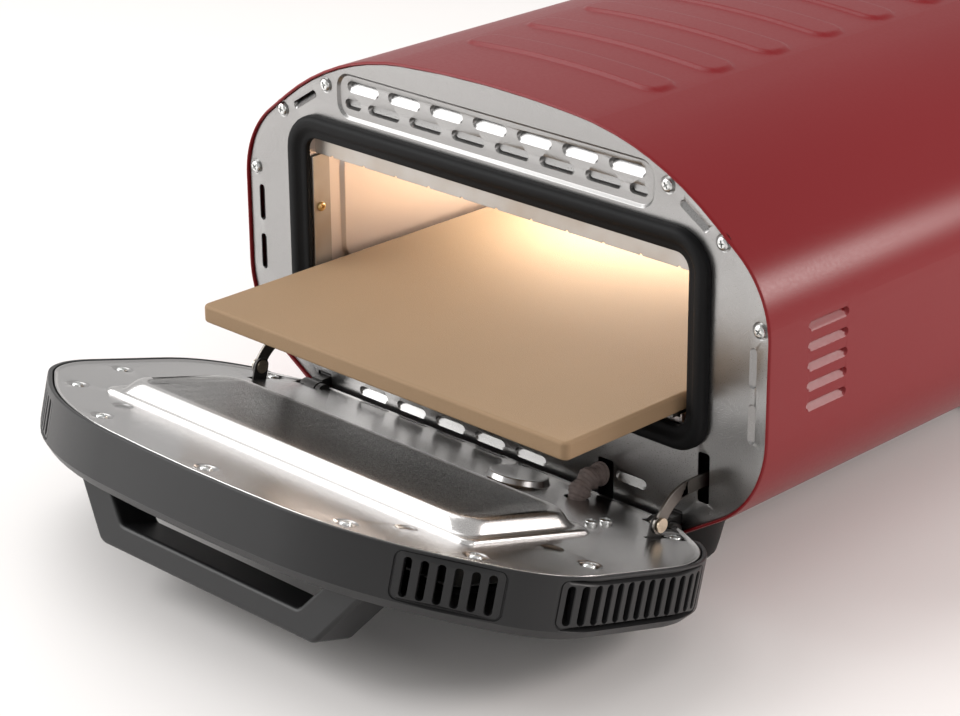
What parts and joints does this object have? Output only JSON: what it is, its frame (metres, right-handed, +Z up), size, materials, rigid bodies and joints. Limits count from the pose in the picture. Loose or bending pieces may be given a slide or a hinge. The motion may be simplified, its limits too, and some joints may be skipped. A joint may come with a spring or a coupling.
{
  "type": "countertop pizza oven",
  "caption": "Domed countertop pizza oven with a drop-down windowed door that carries a square baking stone out of the mouth.",
  "frame": {"origin": "on the counter, below the middle of the oven's box with the door open at its stop", "axes": "+Z up, -Y out of the mouth, X across the oven; the model is symmetric about X = 0 but for the rear inlet and the cable sleeve"},
  "size_m": [0.4588, 0.6974, 0.2883],
  "materials": {
    "red_shell": "gloss",
    "satin_steel": "satin",
    "frame_steel": "satin",
    "zinc_sheet": "satin",
    "liner_steel": "satin",
    "heat_shield": "satin",
    "black_plastic": "matte",
    "rim_plastic": "matte",
    "black_rubber": "matte",
    "heater_tube": "matte",
    "insulation": "matte",
    "probe_copper": "satin",
    "dark_steel": "satin",
    "bright_screw": "polished",
    "white_ceramic": "matte",
    "cordierite": "matte",
    "clear_glass": "polished",
    "smoked_glass": "polished",
    "red_lens": "gloss",
    "woven_sleeve": "matte"
  },
  "bodies": {
    "oven": {"outer_shell": "red_shell", "front_panel": "satin_steel", "rear_panel": "zinc_sheet", "base_pan": "zinc_sheet", "foot_front_left": "black_plastic", "foot_front_right": "black_plastic", "foot_rear_left": "black_plastic", "foot_rear_right": "black_plastic", "foot_pads": "black_rubber", "cavity_ceiling": "liner_steel", "cavity_floor": "liner_steel", "cavity_wall_left": "liner_steel", "cavity_wall_right": "liner_steel", "cavity_back": "liner_steel", "cavity_lintel": "heat_shield", "mouth_gasket": "black_rubber", "upper_heater": "heater_tube", "lower_heater": "heater_tube", "stone_rail_left": "liner_steel", "stone_rail_right": "liner_steel", "insulation_top": "insulation", "insulation_left": "insulation", "insulation_right": "insulation", "insulation_back": "insulation", "temperature_probe": "probe_copper", "hinge_bracket_left": "dark_steel", "hinge_bracket_right": "dark_steel", "panel_screws": "bright_screw", "rear_screws": "bright_screw", "rear_spacers": "black_plastic", "power_inlet": "black_plastic", "terminal_block": "white_ceramic"},
    "stone": {"baking_stone": "cordierite", "stone_carriage": "dark_steel"},
    "door": {"door_inner_plate": "satin_steel", "window_frame": "frame_steel", "inner_glass": "clear_glass", "outer_glass": "smoked_glass", "door_vent_strip": "black_plastic", "door_cover": "rim_plastic", "grille_side_left": "rim_plastic", "grille_side_right": "rim_plastic", "grille_shoulder_left": "rim_plastic", "grille_shoulder_right": "rim_plastic", "door_handle": "rim_plastic", "handle_screws": "bright_screw", "plate_screws": "bright_screw", "hinge_leaf_left": "dark_steel", "hinge_leaf_right": "dark_steel", "hinge_pins": "bright_screw", "stay_lugs": "dark_steel", "stay_rivets": "bright_screw", "thermostat_body": "dark_steel", "timer_body": "dark_steel", "indicator_lens": "red_lens", "cable_sleeve": "woven_sleeve"},
    "stay_left": {"stay_arm_left": "dark_steel"},
    "stay_right": {"stay_arm_right": "dark_steel"},
    "thermostat_dial": {"thermostat_knob": "rim_plastic"},
    "timer_dial": {"timer_knob": "rim_plastic"}
  },
  "joints": [
    {"name": "door_hinge", "type": "hinge", "parent": "oven", "child": "door", "pos_m": [0, -0.0994, 0.0431], "axis": [-1, 0, 0], "range_deg": [0, 74.5]},
    {"name": "stone_slide", "type": "slide", "parent": "oven", "child": "stone", "axis": [0, 1, 0], "range_m": [0, 0.115]},
    {"name": "stay_left_pivot", "type": "hinge", "parent": "door", "child": "stay_left", "pos_m": [-0.178, -0.12838, 0.06359], "axis": [-1, 0, 0], "range_deg": [-63.4, 0]},
    {"name": "stay_right_pivot", "type": "hinge", "parent": "door", "child": "stay_right", "pos_m": [0.178, -0.12838, 0.06359], "axis": [-1, 0, 0], "range_deg": [-63.4, 0]},
    {"name": "thermostat_turn", "type": "hinge", "parent": "door", "child": "thermostat_dial", "pos_m": [0.082, -0.1649, 0.02733], "axis": [0, 0.2672, 0.9636], "range_deg": [0, 270]},
    {"name": "timer_turn", "type": "hinge", "parent": "door", "child": "timer_dial", "pos_m": [-0.082, -0.1649, 0.02733], "axis": [0, 0.2672, 0.9636], "range_deg": [0, 300]}
  ],
  "couplings": [
    {"joint": "stone_slide", "follows": "door_hinge", "m_per_rad": 0.0884},
    {"joint": "stay_left_pivot", "follows": "door_hinge", "ratio": -0.85},
    {"joint": "stay_right_pivot", "follows": "door_hinge", "ratio": -0.85}
  ]
}
